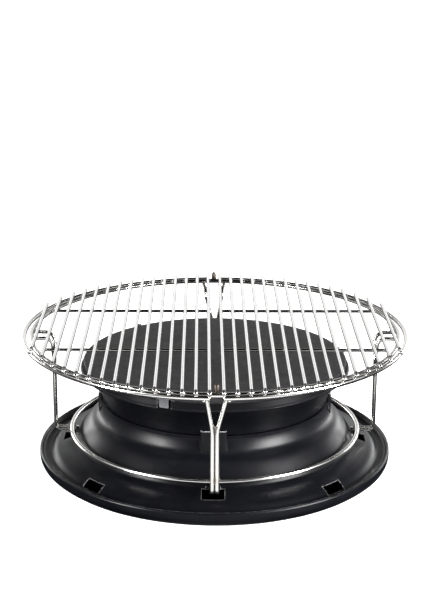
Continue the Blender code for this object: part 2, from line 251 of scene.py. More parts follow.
def satin_coat(name, tone, streak=False):
    """Baked satin black over pressed sheet: orange peel, tiny nibs, faint haze and a lighter
    line along the sheared edges, partly rubbed wear and partly painted highlight; streak adds
    upright brush lines."""
    rough = 0.32
    bare_metal = (0.46, 0.46, 0.47)
    material, tree = new_material(name)
    obj = tree.coords()
    peel = tree.noise(obj, scale=520.0, detail=2.0, rough=0.45)
    grain = tree.noise(obj, scale=3200.0, rough=0.65)
    haze = tree.noise(obj, scale=11.0, detail=5.0, rough=0.6)
    cloud = tree.noise(tree.shift(obj, (3.1, 1.7, 0.4)), scale=38.0, detail=4.0, rough=0.6)
    cells = tree.add("ShaderNodeTexVoronoi", {"Vector": obj, "Scale": 190.0}, feature="F1")
    nibs = tree.smooth(cells.outputs["Distance"], span=(0.055, 0.0))
    base = tree.mix(tree.remap(cloud, span=(0.35, 0.68)), tone, scaled(tone, 1.42))
    base = tree.tint(base, tree.smooth(grain, span=(0.60, 0.80)), scaled(tone, 2.6),
                     amount=0.55)
    # partly rubbed wear, partly painted highlight: a lighter line along the edges
    worn_and_highlit = tree.times(rubbed_and_highlit_edges(tree, obj, scale=260.0, span=(0.38, 0.60)), 0.85)
    base = tree.tint(base, worn_and_highlit, bare_metal)
    shine = tree.remap(haze, span=(0.36, 0.66), out=(rough - 0.045, rough + 0.055))
    shine = tree.plus(shine, tree.remap(grain, span=(0.3, 0.7), out=(-0.03, 0.03)), clamp=True)
    relief = tree.bump(peel, strength=0.20, distance=0.00034)
    relief = tree.bump(grain, strength=0.14, distance=0.00006, normal=relief)
    relief = tree.bump(nibs, strength=0.35, distance=0.00008, normal=relief)
    if streak:
        lines = tree.streaks(obj, stretch=(1500.0, 1500.0, 40.0))
        relief = tree.bump(lines, strength=0.35, distance=0.00016, normal=relief)
        shine = tree.plus(shine, tree.remap(lines, span=(0.3, 0.7), out=(-0.05, 0.07)),
                          clamp=True)
    tree.surface(tree.principled(Base_Color=base, Roughness=shine, Normal=relief, IOR=1.5,
                                 Specular_IOR_Level=0.12, Metallic=tree.times(worn_and_highlit, 0.7)))
    return material


def plate_coat():
    """Dry charcoal coating: sandy tooth, specks, slow tonal drift, a painted darker shade on the
    skirt and a paler rim, partly wear and partly painted highlight.
    """
    drift_dark, drift_light = (0.0080, 0.0072, 0.0084), (0.0150, 0.0137, 0.0155)
    grit_light, grit_dark = (0.036, 0.033, 0.037), (0.002, 0.0018, 0.0021)
    mottle_tone = (0.024, 0.022, 0.025)
    tooth_light, tooth_dark = (0.09, 0.087, 0.09), (0.007, 0.0067, 0.0072)
    bare_metal = (0.46, 0.46, 0.465)
    skirt_shade_tone, shade_diffuse_tone = (0.0040, 0.0040, 0.0048), (0.004, 0.004, 0.0045)
    skirt_rough = 0.36
    material, tree = new_material("plate_coat")
    obj = tree.coords()
    tooth = tree.noise(obj, scale=1500.0, detail=4.0, rough=0.62)
    sand = tree.noise(obj, scale=520.0, rough=0.55)
    drift = tree.noise(obj, scale=8.0, detail=5.0, rough=0.55)
    mottled = tree.noise(tree.shift(obj, (1.3, 5.1, 2.2)), scale=60.0, detail=5.0, rough=0.6)
    base = tree.mix(tree.remap(drift, span=(0.32, 0.68)), drift_dark, drift_light)
    grit = tree.noise(tree.shift(obj, (4.3, 2.2, 0.7)), scale=430.0, rough=0.7)
    base = tree.tint(base, tree.smooth(grit, span=(0.50, 0.66)), grit_light)
    base = tree.tint(base, tree.smooth(grit, span=(0.46, 0.34)), grit_dark, amount=0.8)
    base = tree.tint(base, tree.remap(mottled, span=(0.40, 0.70)), mottle_tone, amount=0.30)
    base = tree.tint(base, tree.smooth(tooth, span=(0.62, 0.76)), tooth_light, amount=0.55)
    base = tree.tint(base, tree.smooth(tooth, span=(0.36, 0.24)), tooth_dark, amount=0.6)
    # partly wear, partly painted highlight: a paler line along the plate's edges
    worn_and_highlit = rubbed_and_highlit_edges(tree, obj, scale=240.0, span=(0.35, 0.6))
    base = tree.tint(base, worn_and_highlit, bare_metal, amount=0.80)
    # painted shade: faces not turned up take the darker skirt colour; the face keeps the lighter
    # one
    up = tree.separate(tree.add("ShaderNodeNewGeometry").outputs["Normal"])[2]
    top = tree.smooth(up, span=(0.55, 0.97))
    base = tree.mix(top, skirt_shade_tone, base)
    shine = tree.remap(mottled, span=(0.35, 0.7), out=(0.50, 0.62))
    shine = tree.plus(tree.times(shine, top), tree.times(tree.minus(1.0, top), skirt_rough))
    shine = tree.minus(shine, tree.times(worn_and_highlit, 0.16), clamp=True)
    relief = tree.bump(sand, strength=0.25, distance=0.00022)
    relief = tree.bump(tooth, strength=0.45, distance=0.00012, normal=relief)
    face = tree.principled(
        Base_Color=base, Roughness=shine, Normal=relief, IOR=1.48,
        Specular_IOR_Level=tree.remap(top, span=(0.0, 1.0), out=(0.10, 0.5)),
        Metallic=tree.times(worn_and_highlit, 0.6))
    # painted shade: the pressed skirt gets a darker colour and a dull dark diffuse mix so it reads
    # shaded under the face, except along the worn and highlit edges
    skirt_shade = tree.add("ShaderNodeBsdfDiffuse", {"Color": shade_diffuse_tone}).outputs[0]
    skirt_shade_amount = tree.times(tree.minus(1.0, top),
                             tree.minus(0.78, tree.times(worn_and_highlit, 0.7), clamp=True))
    tree.surface(tree.add("ShaderNodeMixShader",
                          {0: skirt_shade_amount, 1: face, 2: skirt_shade}).outputs[0])
    return material


def rolled_steel():
    """Bare pressed tab: cross-brushed, a little dull, paler at the edges."""
    dark, light = (0.085, 0.088, 0.095), (0.135, 0.138, 0.146)
    haze_tone, edge_tone = (0.12, 0.12, 0.13), (0.34, 0.35, 0.36)
    material, tree = new_material("tab_steel")
    obj = tree.coords()
    lines = tree.streaks(obj, stretch=(260.0, 260.0, 4200.0))
    haze = tree.noise(obj, scale=120.0, detail=4.0, rough=0.6)
    base = tree.mix(tree.remap(lines, span=(0.35, 0.68)), dark, light)
    base = tree.tint(base, tree.smooth(haze, span=(0.5, 0.75)), haze_tone, amount=0.4)
    base = tree.tint(base, tree.attr("edge"), edge_tone, amount=0.25)
    relief = tree.bump(lines, strength=0.25, distance=0.00008)
    tree.surface(tree.principled(
        Base_Color=base, Metallic=0.9,
        Roughness=tree.remap(lines, span=(0.3, 0.7), out=(0.34, 0.50)), Normal=relief))
    return material


BAR_STEEL = drawn_steel("bar_steel", tone=(0.93, 0.925, 0.915), rough=0.12, flank_shade=0.9)
# painted shade: the cross rods are the same steel as the bars, given a darker tone for the shade
# under the bars
SHADED_ROD_STEEL = drawn_steel("rod_steel", tone=(0.42, 0.415, 0.405), rough=0.12)
RIM_STEEL = drawn_steel("rim_steel", tone=(0.84, 0.83, 0.81), rough=0.11, flank_shade=0.35)
RACK_STEEL = drawn_steel("rack_steel", tone=(0.80, 0.79, 0.77), rough=0.14, warm=0.05)
PIN_STEEL = drawn_steel("pin_steel", tone=(0.055, 0.045, 0.038), rough=0.24)
WELD = weld_metal()
BASE_COAT = satin_coat("base_coat", tone=(0.0016, 0.0017, 0.0024))
# painted shade: the base shell's coating, a little darker for the shade on the upper shell's
# down-turned faces
SHADED_UPPER_COAT = satin_coat("upper_coat", tone=(0.0014, 0.0015, 0.0021))
CLIP_COAT = satin_coat("clip_coat", tone=(0.0022, 0.0023, 0.0028), streak=True)
PLATE = plate_coat()
TAB_STEEL = rolled_steel()


# ==========================================================================
# curve helpers
# ==========================================================================
def unit(vec):
    return vec / max(np.linalg.norm(vec), 1e-12)


def between(at, at_start, at_end, start, end):
    """Straight-line blend from start at at_start to end at at_end."""
    return (at_end - at) / (at_end - at_start) * start + (at - at_start) / (at_end - at_start) * end


def quadratic(u, start, corner, end):
    return (1 - u) ** 2 * start + 2 * u * (1 - u) * corner + u * u * end


def arc_length(path):
    return np.concatenate([[0], np.cumsum(np.linalg.norm(np.diff(path, axis=0), axis=1))])


def spline(points, step=0.4):
    """Dense centripetal Catmull-Rom curve through the points."""
    knots = np.asarray(points, float)
    knots = np.vstack([2 * knots[0] - knots[1], knots, 2 * knots[-1] - knots[-2]])
    curve = []
    for i in range(1, len(knots) - 2):
        p0, p1, p2, p3 = knots[i - 1:i + 3]
        t1 = np.linalg.norm(p1 - p0) ** 0.5
        t2 = t1 + np.linalg.norm(p2 - p1) ** 0.5
        t3 = t2 + np.linalg.norm(p3 - p2) ** 0.5
        count = max(2, int(np.linalg.norm(p2 - p1) / step) + 1)
        t = np.linspace(t1, t2, count, endpoint=False)[:, None]
        a1 = between(t, 0, t1, p0, p1)
        a2 = between(t, t1, t2, p1, p2)
        a3 = between(t, t2, t3, p2, p3)
        b1 = between(t, 0, t2, a1, a2)
        b2 = between(t, t1, t3, a2, a3)
        curve.append(between(t, t1, t2, b1, b2))
    curve.append(knots[-2][None])
    return np.vstack(curve)


def densify(path, step):
    path = np.asarray(path, float)
    dense = [path[0]]
    for start, end in zip(path[:-1], path[1:]):
        count = max(1, int(math.ceil(np.linalg.norm(end - start) / step)))
        for k in range(1, count + 1):
            dense.append(start + (end - start) * k / count)
    return np.array(dense)


def rounded(points, trims, step):
    """Polyline whose corners are blended over the given trim lengths."""
    points = [np.asarray(point, float) for point in points]
    path = [points[0]]
    for i in range(1, len(points) - 1):
        corner = points[i]
        back, ahead = points[i - 1] - corner, points[i + 1] - corner
        back_len, ahead_len = np.linalg.norm(back), np.linalg.norm(ahead)
        trim = min(trims[i], 0.49 * back_len, 0.49 * ahead_len)
        start = corner + back / back_len * trim
        end = corner + ahead / ahead_len * trim
        count = max(5, int(2 * trim / step))
        for k in range(count + 1):
            path.append(quadratic(k / count, start, corner, end))
    path.append(points[-1])
    return densify(np.array(path), step)


def polar(az, t, r, z):
    """Point (metres) at tangential offset t, radius r and height z of an azimuth."""
    a = math.radians(az)
    return np.array((math.cos(a) * t + math.sin(a) * r,
                     math.sin(a) * t - math.cos(a) * r, z)) * MM


def polar_axes(az):
    """Tangential, outward and upward directions at an azimuth."""
    a = math.radians(az)
    return (np.array((math.cos(a), math.sin(a), 0.0)),
            np.array((math.sin(a), -math.cos(a), 0.0)), np.array((0.0, 0.0, 1.0)))


def circle_points(radius, angles, z):
    """Points at a radius and height, for angles in radians from the front."""
    return np.stack([radius * np.sin(angles), -radius * np.cos(angles),
                     np.full(len(angles), z)], 1)


# ==========================================================================
# mesh helpers
# ==========================================================================
def mesh_piece(name, verts, faces, material, node=None, body=None, attrs=None):
    """Smooth mesh in metres. It stands in for a CAD node, or just rides on a body."""
    mesh = bpy.data.meshes.new(name)
    mesh.from_pydata(np.asarray(verts).tolist(), [], faces)
    mesh.materials.append(material)
    for key, values in (attrs or {}).items():
        values = np.asarray(values, np.float32)
        if values.ndim == 2:
            mesh.attributes.new(key, "FLOAT_VECTOR", "POINT").data.foreach_set(
                "vector", values.ravel())
        else:
            mesh.attributes.new(key, "FLOAT", "POINT").data.foreach_set("value", values)
    bm = bmesh.new()
    bm.from_mesh(mesh)
    bmesh.ops.recalc_face_normals(bm, faces=bm.faces)
    bm.to_mesh(mesh)
    bm.free()
    mesh.polygons.foreach_set("use_smooth", [True] * len(mesh.polygons))
    mesh.update()
    mesh.validate()
    ob = bpy.data.objects.new(name, mesh)
    bpy.context.scene.collection.objects.link(ob)
    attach(ob, body or BODY[node])
    if node:
        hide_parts(node)
    return ob


def nearness(verts, spots, reach):
    """1 at a spot, falling to 0 at the reach from every spot; all in metres."""
    square = np.full(len(verts), 1e9)
    for spot in spots:
        square = np.minimum(square, ((verts - spot) ** 2).sum(1))
    return np.clip(1.0 - np.sqrt(square) / reach, 0.0, 1.0)


CAP_ANGLES = (82, 66, 48, 32, 16)


def sweep(path, radius, sides, closed=False, end=0.8, up=(0, 0, 1)):
    """Round wire along a path in millimetres; open ends are rounded over end * radius.
    Returns vertices, faces and flow (distance along, two offsets across) in metres."""
    path = np.asarray(path, float) * MM
    radius = radius * MM
    cap = end * radius
    if closed:
        tangent = np.roll(path, -1, 0) - np.roll(path, 1, 0)
    else:
        start_dir, end_dir = unit(path[1] - path[0]), unit(path[-1] - path[-2])
        path[0] = path[0] + start_dir * cap
        path[-1] = path[-1] - end_dir * cap
        tangent = np.gradient(path, axis=0)
    tangent /= np.linalg.norm(tangent, axis=1)[:, None]
    normal = np.zeros_like(path)
    up = np.asarray(up, float)
    if abs(np.dot(up, tangent[0])) > 0.95:
        up = np.array((1.0, 0.0, 0.0))
    normal[0] = unit(up - np.dot(up, tangent[0]) * tangent[0])
    for i in range(1, len(path)):
        normal[i] = unit(normal[i - 1] - np.dot(normal[i - 1], tangent[i]) * tangent[i])
    across = np.cross(tangent, normal)
    along = arc_length(path)
    stations = list(zip(path, normal, across, [radius] * len(path), along))

    def cap_station(i, outward, sign, degrees):
        a = math.radians(degrees)
        return (path[i] + outward * cap * math.sin(a), normal[i], across[i],
                (radius - cap) + cap * math.cos(a), along[i] + sign * cap * math.sin(a))

    if not closed:
        head = [cap_station(0, -start_dir, -1, a) for a in CAP_ANGLES]
        tail = [cap_station(-1, end_dir, 1, a) for a in CAP_ANGLES[::-1]]
        stations = head + stations + tail
    angles = 2 * math.pi * np.arange(sides) / sides
    cosines, sines = np.cos(angles), np.sin(angles)
    verts, flow = [], []
    for centre, nrm, acr, rad, dist in stations:
        verts.append(centre + rad * (cosines[:, None] * nrm + sines[:, None] * acr))
        flow.append(np.stack([np.full(sides, dist), rad * cosines, rad * sines], 1))
    verts, flow = np.vstack(verts), np.vstack(flow)
    count = len(stations)
    faces = []
    for i in range(count if closed else count - 1):
        here, there = i * sides, ((i + 1) % count) * sides
        for j in range(sides):
            k = (j + 1) % sides
            faces.append((here + j, here + k, there + k, there + j))
    if not closed:
        verts = np.vstack([verts, path[0] - start_dir * cap, path[-1] + end_dir * cap])
        flow = np.vstack([flow, (flow[0, 0], 0, 0), (flow[-1, 0], 0, 0)])
        first_tip, last_tip = count * sides, count * sides + 1
        last = (count - 1) * sides
        for j in range(sides):
            k = (j + 1) % sides
            faces.append((first_tip, k, j))
            faces.append((last_tip, last + j, last + k))
    return verts, faces, flow


SHADE_DOT_REACH = 0.0056


def wire_piece(name, path, diameter, material, node, slot, welds, reach, shade_dots=(), **shape):
    verts, faces, flow = sweep(path, diameter / 2, **shape)
    mesh_piece(name, verts, faces, material, node=node,
               attrs={"flow": flow, "weld": nearness(verts, welds, reach),
                      "shade_dot": nearness(verts, shade_dots, SHADE_DOT_REACH)})


BEADS = {}
WORLD_AXES = np.eye(3)


def bead(group, centre, axes, radii, lump=0.16, seg=14, rings=8):
    """Queues one lumpy weld nugget; centre in metres, radii in millimetres."""
    phase = rng.uniform(0, 6.28, 3)
    semi = [axis * radius * MM for axis, radius in zip(axes, radii)]
    verts = [centre + semi[2]]
    for i in range(1, rings):
        down = math.pi * i / rings
        for j in range(seg):
            turn = 2 * math.pi * j / seg
            swell = 1 + lump * (0.6 * math.sin(2 * turn + phase[0]) * math.sin(down)
                                + 0.4 * math.sin(3 * turn + 2 * down + phase[1])
                                + 0.3 * math.sin(5 * down + phase[2]))
            offset = (semi[0] * math.sin(down) * math.cos(turn)
                      + semi[1] * math.sin(down) * math.sin(turn)
                      + semi[2] * math.cos(down))
            verts.append(centre + offset * swell)
    verts.append(centre - semi[2])
    faces = []
    last = 1 + (rings - 2) * seg
    for j in range(seg):
        k = (j + 1) % seg
        faces.append((0, 1 + j, 1 + k))
        for i in range(rings - 2):
            upper_ring, lower_ring = 1 + i * seg, 1 + (i + 1) * seg
            faces.append((upper_ring + j, lower_ring + j, lower_ring + k, upper_ring + k))
        faces.append((len(verts) - 1, last + k, last + j))
    BEADS.setdefault(group, []).append((np.array(verts), faces))


def flush_beads(group, body):
    """Joins the queued nuggets of a group into one mesh."""
    all_verts, all_faces, base = [], [], 0
    for verts, faces in BEADS[group]:
        all_verts.append(verts)
        all_faces += [tuple(base + i for i in face) for face in faces]
        base += len(verts)
    mesh_piece(group + "_welds", np.vstack(all_verts), all_faces, WELD, body=body)


def thick_grid(name, outer, inner, material, node, edge, bevel,
               wrap=False, hole=None, pole=False):
    """Sheet-metal solid between matching outer and inner grids (metres).
    wrap joins the last column to the first, pole closes the first row with a fan."""
    outer, inner = np.asarray(outer), np.asarray(inner)
    rows, row_len = outer.shape[:2]
    cols = row_len if wrap else row_len - 1
    solid = np.ones((rows - 1, cols), bool)
    if hole is not None:
        solid &= ~hole
    half = rows * row_len

    def out_id(i, j):
        return i * row_len + (j % row_len)

    def in_id(i, j):
        return half + out_id(i, j)

    def wall(start, end):
        """Face closing the sheet between two grid corners."""
        return (out_id(*start), out_id(*end), in_id(*end), in_id(*start))

    faces = []
    for i in range(rows - 1):
        for j in range(cols):
            if not solid[i, j]:
                continue
            quad = ((i, j), (i + 1, j), (i + 1, j + 1), (i, j + 1))
            faces.append(tuple(out_id(*corner) for corner in quad))
            faces.append(tuple(in_id(*quad[c]) for c in (0, 3, 2, 1)))
            if (i == 0 and not pole) or (i > 0 and not solid[i - 1, j]):
                faces.append(wall(quad[0], quad[3]))
            if i == rows - 2 or not solid[i + 1, j]:
                faces.append(wall(quad[2], quad[1]))
            if not ((wrap or j > 0) and solid[i, (j - 1) % cols]):
                faces.append(wall(quad[1], quad[0]))
            if not ((wrap or j < cols - 1) and solid[i, (j + 1) % cols]):
                faces.append(wall(quad[3], quad[2]))
    verts = np.vstack([outer.reshape(-1, 3), inner.reshape(-1, 3)])
    wear_and_highlight = np.concatenate([edge.ravel(), edge.ravel()])
    if pole:
        verts = np.vstack([verts, outer[0].mean(0), inner[0].mean(0)])
        wear_and_highlight = np.concatenate([wear_and_highlight, [0, 0]])
        out_pole, in_pole = len(verts) - 2, len(verts) - 1
        for j in range(cols):
            faces.append((out_pole, out_id(0, j), out_id(0, j + 1)))
            faces.append((in_pole, in_id(0, j + 1), in_id(0, j)))
    used = np.zeros(len(verts), bool)
    for face in faces:
        used[list(face)] = True
    new_id = np.cumsum(used) - 1
    faces = [tuple(int(new_id[i]) for i in face) for face in faces]
    ob = mesh_piece(name, verts[used], faces, material, node=node,
                    attrs={"edge": wear_and_highlight[used]})
    modifier = ob.modifiers.new("edges", "BEVEL")
    modifier.width = bevel * MM
    modifier.segments = 2
    modifier.limit_method = "ANGLE"
    modifier.angle_limit = math.radians(38)
    modifier.harden_normals = True
    modifier.use_clamp_overlap = True


def pick_rows(path, gap, turn, cuts=(), cut_z=None):
    """Rows of a dense (r, z) path and their tangents: at most about gap apart, closer
    where the path turns, and one exactly at each cut radius within the cut_z heights."""
    least = 0.3
    points = [np.array(point, float) for point in path]
    forced = [False] * len(points)
    for radius in cuts:
        for i in range(len(points) - 1):
            start, end = points[i], points[i + 1]
            if (start[0] - radius) * (end[0] - radius) <= 0 and start[0] != end[0]:
                cut = start + (end - start) * ((radius - start[0]) / (end[0] - start[0]))
                if cut_z[0] <= cut[1] <= cut_z[1]:
                    points.insert(i + 1, cut)
                    forced.insert(i + 1, True)
                    break
    points = np.array(points)
    tangents = np.gradient(points, axis=0)
    tangents /= np.maximum(np.linalg.norm(tangents, axis=1)[:, None], 1e-9)
    keep, last = [0], 0
    for i in range(1, len(points) - 1):
        dist = np.linalg.norm(np.diff(points[last:i + 1], axis=0), axis=1).sum()
        bend = math.degrees(math.acos(np.clip(np.dot(tangents[last], tangents[i]), -1, 1)))
        if forced[i]:
            if dist < least and last != 0 and not forced[last]:
                keep.pop()
            keep.append(i)
            last = i
        elif dist >= gap or (bend >= turn and dist >= least):
            keep.append(i)
            last = i
    keep.append(len(points) - 1)
    return points[keep], tangents[keep]


def holes_at(azimuths, **shape):
    return [dict(az=az, **shape) for az in azimuths]


def columns(holes, count=240):
    """Sorted (azimuth, hole, side) columns, one exactly on each side of every hole."""
    edges = []
    for hole in holes:
        half = math.degrees(math.asin(hole["width"] / 2 / hole["mid_r"]))
        for side in (-1, 1):
            edges.append(((hole["az"] + side * half) % 360, hole, side))
    even = [360.0 * i / count for i in range(count)]
    even = [(az, None, 0) for az in even
            if all(min(abs(az - e[0]), 360 - abs(az - e[0])) > 0.45 for e in edges)]
    return sorted(even + edges, key=lambda column: column[0])


def ring_shell(name, rows, tangents, thick, material, node, bevel, edge_rows, relief,
               holes=(), pole=False):
    """Spins (r, z) rows into a sheet shell, thickened inwards and pierced by the holes."""
    cols = columns(holes)
    row_count, col_count = len(rows), len(cols)
    az = np.tile([column[0] for column in cols], (row_count, 1))
    for j, (_, hole, side) in enumerate(cols):
        if hole is not None:
            radius = np.clip(rows[:, 0], hole["r_min"], hole["r_max"])
            az[:, j] = hole["az"] + side * np.degrees(np.arcsin(hole["width"] / 2 / radius))
    az = np.radians(az)
    inward = np.stack([tangents[:, 1], -tangents[:, 0]], 1)
    inner_rows = rows + inward * np.broadcast_to(np.asarray(thick, float),
                                                 (row_count,))[:, None]
    inner_rows[:, 0] = np.maximum(inner_rows[:, 0], 0.5)
    rise = relief(rows, az)

    def spin(profile):
        r = profile[:, 0][:, None] - inward[:, 0][:, None] * rise
        z = profile[:, 1][:, None] - inward[:, 1][:, None] * rise
        return np.stack([r * np.sin(az), -r * np.cos(az), z], 2) * MM

    pierced = np.zeros((row_count - 1, col_count), bool)
    edge = np.zeros((row_count, col_count))
    mid_r = (rows[:-1, 0] + rows[1:, 0]) / 2
    mid_z = (rows[:-1, 1] + rows[1:, 1]) / 2
    for hole in holes:
        cut = np.nonzero((mid_r > hole["r_min"]) & (mid_r < hole["r_max"])
                         & (mid_z > hole["z_min"]) & (mid_z < hole["z_max"]))[0]
        first, last = (next(j for j, column in enumerate(cols)
                            if column[1] is hole and column[2] == side) for side in (-1, 1))
        span = np.arange(first, last + (col_count if last < first else 0)) % col_count
        pierced[np.ix_(cut, span)] = True
        border = np.union1d(cut, cut + 1)
        edge[np.ix_(border[[0, -1]], [*span, last])] = hole["wear_and_highlight"]
        edge[np.ix_(border, [first, last])] = hole["wear_and_highlight"]
    edge = np.maximum(edge, edge_rows[:, None])
    thick_grid(name, spin(rows), spin(inner_rows), material, node, edge, bevel,
               wrap=True, hole=pierced, pole=pole)


# ==========================================================================
# cooking grate: two halves of parallel bars on a rim wire and two cross rods
# ==========================================================================
WIRE_GAP = 0.3            # between stacked wires, filled by the weld
GRATE_R, BAR_D, BAR_Z = 273.0, 5.2, 193.0
CENTRE_GAP, PITCH, BARS = 18.0, 17.1, 15
BAR_UNDER = BAR_Z - BAR_D / 2
TOUCH_Z = BAR_UNDER - WIRE_GAP / 2
RODS = (("front", -86.5), ("back", 92.5))
ROD_D = 4.5
ROD_Z = BAR_UNDER - WIRE_GAP - ROD_D / 2
ROD_INNER_END, ROD_OUTER_END = 1.8, 2.0       # run past the first and last bar carried
RIM_R, RIM_D = 268.2, 6.8
RIM_Z = BAR_UNDER - WIRE_GAP - RIM_D / 2
RIM_END = 1.2             # rim runs this far inside the first bar
SHADE_DOT_DY, SHADE_DOT_RISE = (0.2, -2.4), 0.6         # painted shade dots, from the rim and bar top
BAR_TIP, TIP_STEP, BAR_STEP = 14.0, 0.9, 4.0  # finer stations near the bar ends
STRAIGHT_FADE = 40.0      # bars run true again this close to their ends


def grate_bar(side, k, x, rim_welds, rod_welds):
    half = math.sqrt(GRATE_R ** 2 - x * x)
    rim_y = math.sqrt(RIM_R ** 2 - x * x)
    welds = []
    for end in (-1, 1):
        spot = np.array((x, end * rim_y, TOUCH_Z)) * MM
        welds.append(spot)
        rim_welds.append(spot)
        bead(side, spot + np.array((0, 0, -0.35 * MM)), WORLD_AXES, (2.0, 2.1, 1.2))
    # painted shade: dark dots on top of the bar's front end, next to the weld to the rim
    shade_dots = [np.array((x, -(rim_y + dy), BAR_Z + BAR_D / 2 + SHADE_DOT_RISE)) * MM
             for dy in SHADE_DOT_DY]
    if k < BARS - 1:
        for (_, y), spots in zip(RODS, rod_welds):
            spot = np.array((x, y, TOUCH_Z)) * MM
            welds.append(spot)
            spots.append(spot)
            bead(side, spot + np.array((0, 0, -0.15 * MM)), WORLD_AXES, (1.6, 1.6, 0.95))
    # a drawn bar is never dead straight
    slow, quick = rng.uniform(0.02, 0.10), rng.uniform(0.01, 0.05)
    slow_phase, quick_phase = rng.uniform(0, 6.28), rng.uniform(0, 6.28)
    tips = np.arange(0.0, BAR_TIP, TIP_STEP)
    count = max(24, int(2 * half / BAR_STEP))
    ys = np.concatenate([-half + tips, np.linspace(-half + BAR_TIP, half - BAR_TIP, count),
                         (half - tips)[::-1]])
    fade = np.clip((half - np.abs(ys)) / STRAIGHT_FADE, 0, 1)
    xs = x + fade * (slow * np.sin(ys / 71.0 + slow_phase)
                     + quick * np.sin(ys / 29.0 + quick_phase))
    wire_piece("%s_bar_%02d_wire" % (side, k + 1),
               np.stack([xs, ys, np.full(len(ys), BAR_Z)], 1), BAR_D, BAR_STEEL,
               "%s_grate_bar_%02d" % (side, k + 1), "grate_bar_steel",
               welds, reach=0.0050, shade_dots=shade_dots, sides=20, end=0.75)


def cross_rod(side, sign, bar_xs, index, welds):
    label, y = RODS[index]
    xs = np.linspace(bar_xs[0] - sign * ROD_INNER_END, bar_xs[-2] + sign * ROD_OUTER_END, 74)
    path = np.stack([xs, y + 0.06 * np.sin(xs / 37.0 + index), np.full(len(xs), ROD_Z)], 1)
    wire_piece("%s_rod_%s_wire" % (side, label), path, ROD_D, SHADED_ROD_STEEL,
               "%s_cross_rod_%s" % (side, label), "cross_rod_steel",
               welds, reach=0.0042, sides=18, end=0.85)


def grate_rim(side, sign, first_x, welds):
    start = math.asin((abs(first_x) - RIM_END) / RIM_R)
    steps = 260
    angles = start + (math.pi - 2 * start) * np.arange(steps + 1) / steps
    path = circle_points(RIM_R, angles, RIM_Z) * (sign, 1, 1)
    wire_piece("%s_rim_wire" % side, path, RIM_D, RIM_STEEL, "%s_grate_rim_wire" % side,
               "rim_steel", welds, reach=0.0055, sides=28, end=0.7)


for side, sign in (("left", -1), ("right", 1)):
    bar_xs = [sign * (CENTRE_GAP / 2 + k * PITCH) for k in range(BARS)]
    rim_welds, rod_welds = [], ([], [])
    for k, x in enumerate(bar_xs):
        grate_bar(side, k, x, rim_welds, rod_welds)
    for index in range(len(RODS)):
        cross_rod(side, sign, bar_xs, index, rod_welds[index])
    grate_rim(side, sign, bar_xs[0], rim_welds)
    flush_beads(side, BODY["%s_grate_bar_01" % side])
    # the weld mesh carries the grate's own name
    bpy.data.objects[side + "_welds"].name = side + "_grate_welds"
    bpy.data.meshes[side + "_welds"].name = side + "_grate_welds"

# ==========================================================================
# lift-off rack: two rings, four hairpin legs, two divider posts
# ==========================================================================
RING_R, RING_D = 258.0, 6.6
RING_Z = BAR_UNDER - WIRE_GAP - RING_D / 2
WIRE_D = 5.3
ARM_Z = RING_Z - RING_D / 2 - WIRE_GAP - WIRE_D / 2
ARM_TIP_R, ARM_TIP_T = 262.5, 16.3            # T values are offsets either side of a leg
LEG_R, LEG_T, FORK_Z, SHOULDER_T = 228.5, 3.2, 128.0, 12.2
FORK_BLEND = 8.0                              # each way along the leg
ARM_WELD = 0.89                               # share of the splay reached at the top ring
TOP_BEND, FOOT_BEND, FOOT_Z, FOOT_TIP_R = 12.0, 4.8, 40.2, 198.2
LOW_R, LOW_D = 204.4, 6.6
LOW_Z = FOOT_Z + WIRE_D / 2 + WIRE_GAP + LOW_D / 2
POST_D, POST_TOP, POST_DOME, POST_FLOAT = 6.8, 201.5, 4.4, 0.05
SPLAY = ARM_TIP_T - SHOULDER_T


def leg_az(az, z):
    """The legs' lower ends stand turned half a degree from the arms."""
    return az - 0.48 * min(1.0, max(0.0, (168.0 - z) / 40.0))


def half_leg():
    """(t, r, z) stations of one leg wire, from the foot bend up to the arm tip."""
    path = []
    for i in range(13):
        a = -math.pi / 2 + (math.pi / 2) * i / 12
        path.append((LEG_T, LEG_R - FOOT_BEND + FOOT_BEND * math.cos(a),
                     FOOT_Z + FOOT_BEND + FOOT_BEND * math.sin(a)))
    for z in np.arange(50.0, FORK_Z - FORK_BLEND, 4.0):
        path.append((LEG_T, LEG_R, z))
    # the bend where the two wires part
    top_z = ARM_Z - TOP_BEND
    slope = (SHOULDER_T - LEG_T) / (top_z - FORK_Z)
    for i in range(9):
        u = i / 8
        z = quadratic(u, FORK_Z - FORK_BLEND, FORK_Z, FORK_Z + FORK_BLEND)
        path.append((quadratic(u, LEG_T, LEG_T, LEG_T + slope * FORK_BLEND), LEG_R, z))
    for z in np.arange(FORK_Z + 12.0, top_z - 2.0, 4.0):
        path.append((LEG_T + slope * (z - FORK_Z), LEG_R, z))
    # outward bend and arm, splaying evenly
    centre_r = LEG_R + TOP_BEND
    run = TOP_BEND * math.pi / 2 + (ARM_TIP_R - centre_r)
    for i in range(15):
        turned = (math.pi / 2) * i / 14
        a = math.pi - turned
        path.append((SHOULDER_T + SPLAY * TOP_BEND * turned / run,
                     centre_r + TOP_BEND * math.cos(a), top_z + TOP_BEND * math.sin(a)))
    bend_t = path[-1][0]
    for r in np.linspace(centre_r, ARM_TIP_R, 9)[1:]:
        u = (r - centre_r) / (ARM_TIP_R - centre_r)
        path.append((bend_t + (ARM_TIP_T - bend_t) * u, r, ARM_Z))
    return path


def hairpin():
    up = half_leg()
    foot = [(LEG_T, r, FOOT_Z) for r in
            np.linspace(FOOT_TIP_R + LEG_T + 2.0, LEG_R - FOOT_BEND - 2.0, 8)]
    turn = [(-LEG_T * math.cos(math.pi * i / 16),
             FOOT_TIP_R + LEG_T - LEG_T * math.sin(math.pi * i / 16), FOOT_Z)
            for i in range(17)]
    mirrored = [(-t, r, z) for t, r, z in (foot + up)[::-1]]
    return mirrored + turn + foot + up


